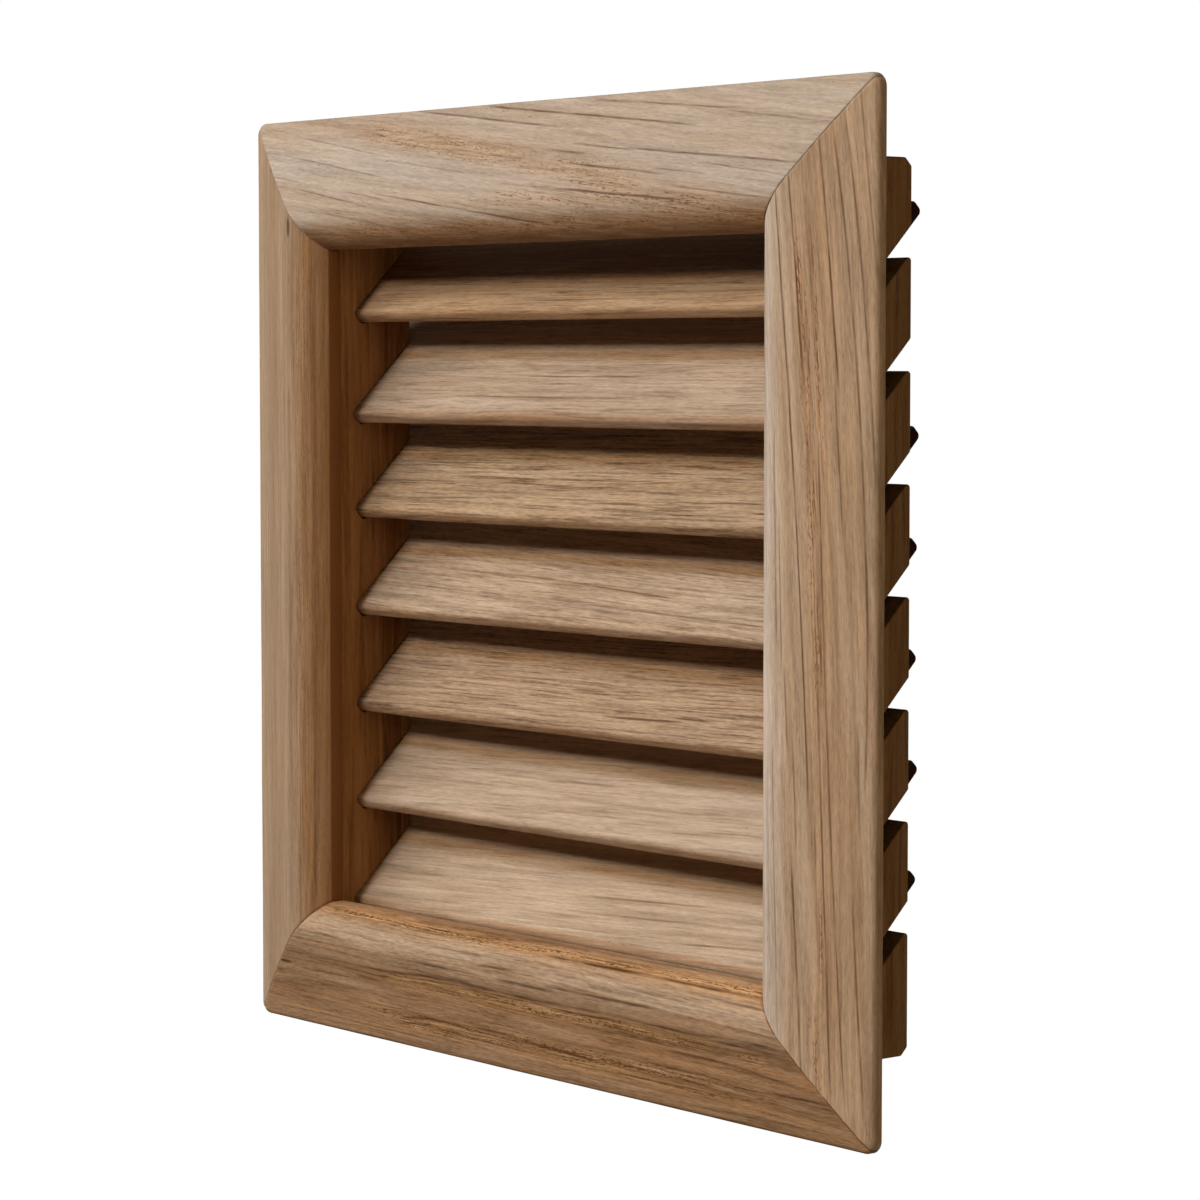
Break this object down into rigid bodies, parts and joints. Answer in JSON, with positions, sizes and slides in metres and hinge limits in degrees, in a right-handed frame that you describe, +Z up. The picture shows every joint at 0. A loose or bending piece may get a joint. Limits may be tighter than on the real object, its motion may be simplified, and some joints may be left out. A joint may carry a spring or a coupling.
{
  "type": "wooden vent grille",
  "caption": "Square oak vent grille: a mitred, moulded frame on two slotted side boards, with fixed slats at 45 degrees between them.",
  "frame": {"origin": "centre of the opening, in the wall plane (the frame's back face)", "axes": "+X to the right seen from the room, +Y from the room into the duct, +Z up"},
  "size_m": [0.175, 0.0318, 0.175],
  "materials": {
    "frame_oak": "sanded, unfinished oak with open pores",
    "board_oak": "sawn oak, darker",
    "slat_oak": "sanded oak, grain along the slat"
  },
  "bodies": {
    "root": {"top_rail": "frame_oak", "bottom_rail": "frame_oak", "left_stile": "frame_oak", "right_stile": "frame_oak", "left_side_board": "board_oak", "right_side_board": "board_oak", "slat_1": "slat_oak", "slat_2": "slat_oak", "slat_3": "slat_oak", "slat_4": "slat_oak", "slat_5": "slat_oak", "slat_6": "slat_oak", "slat_7": "slat_oak"}
  },
  "joints": []
}
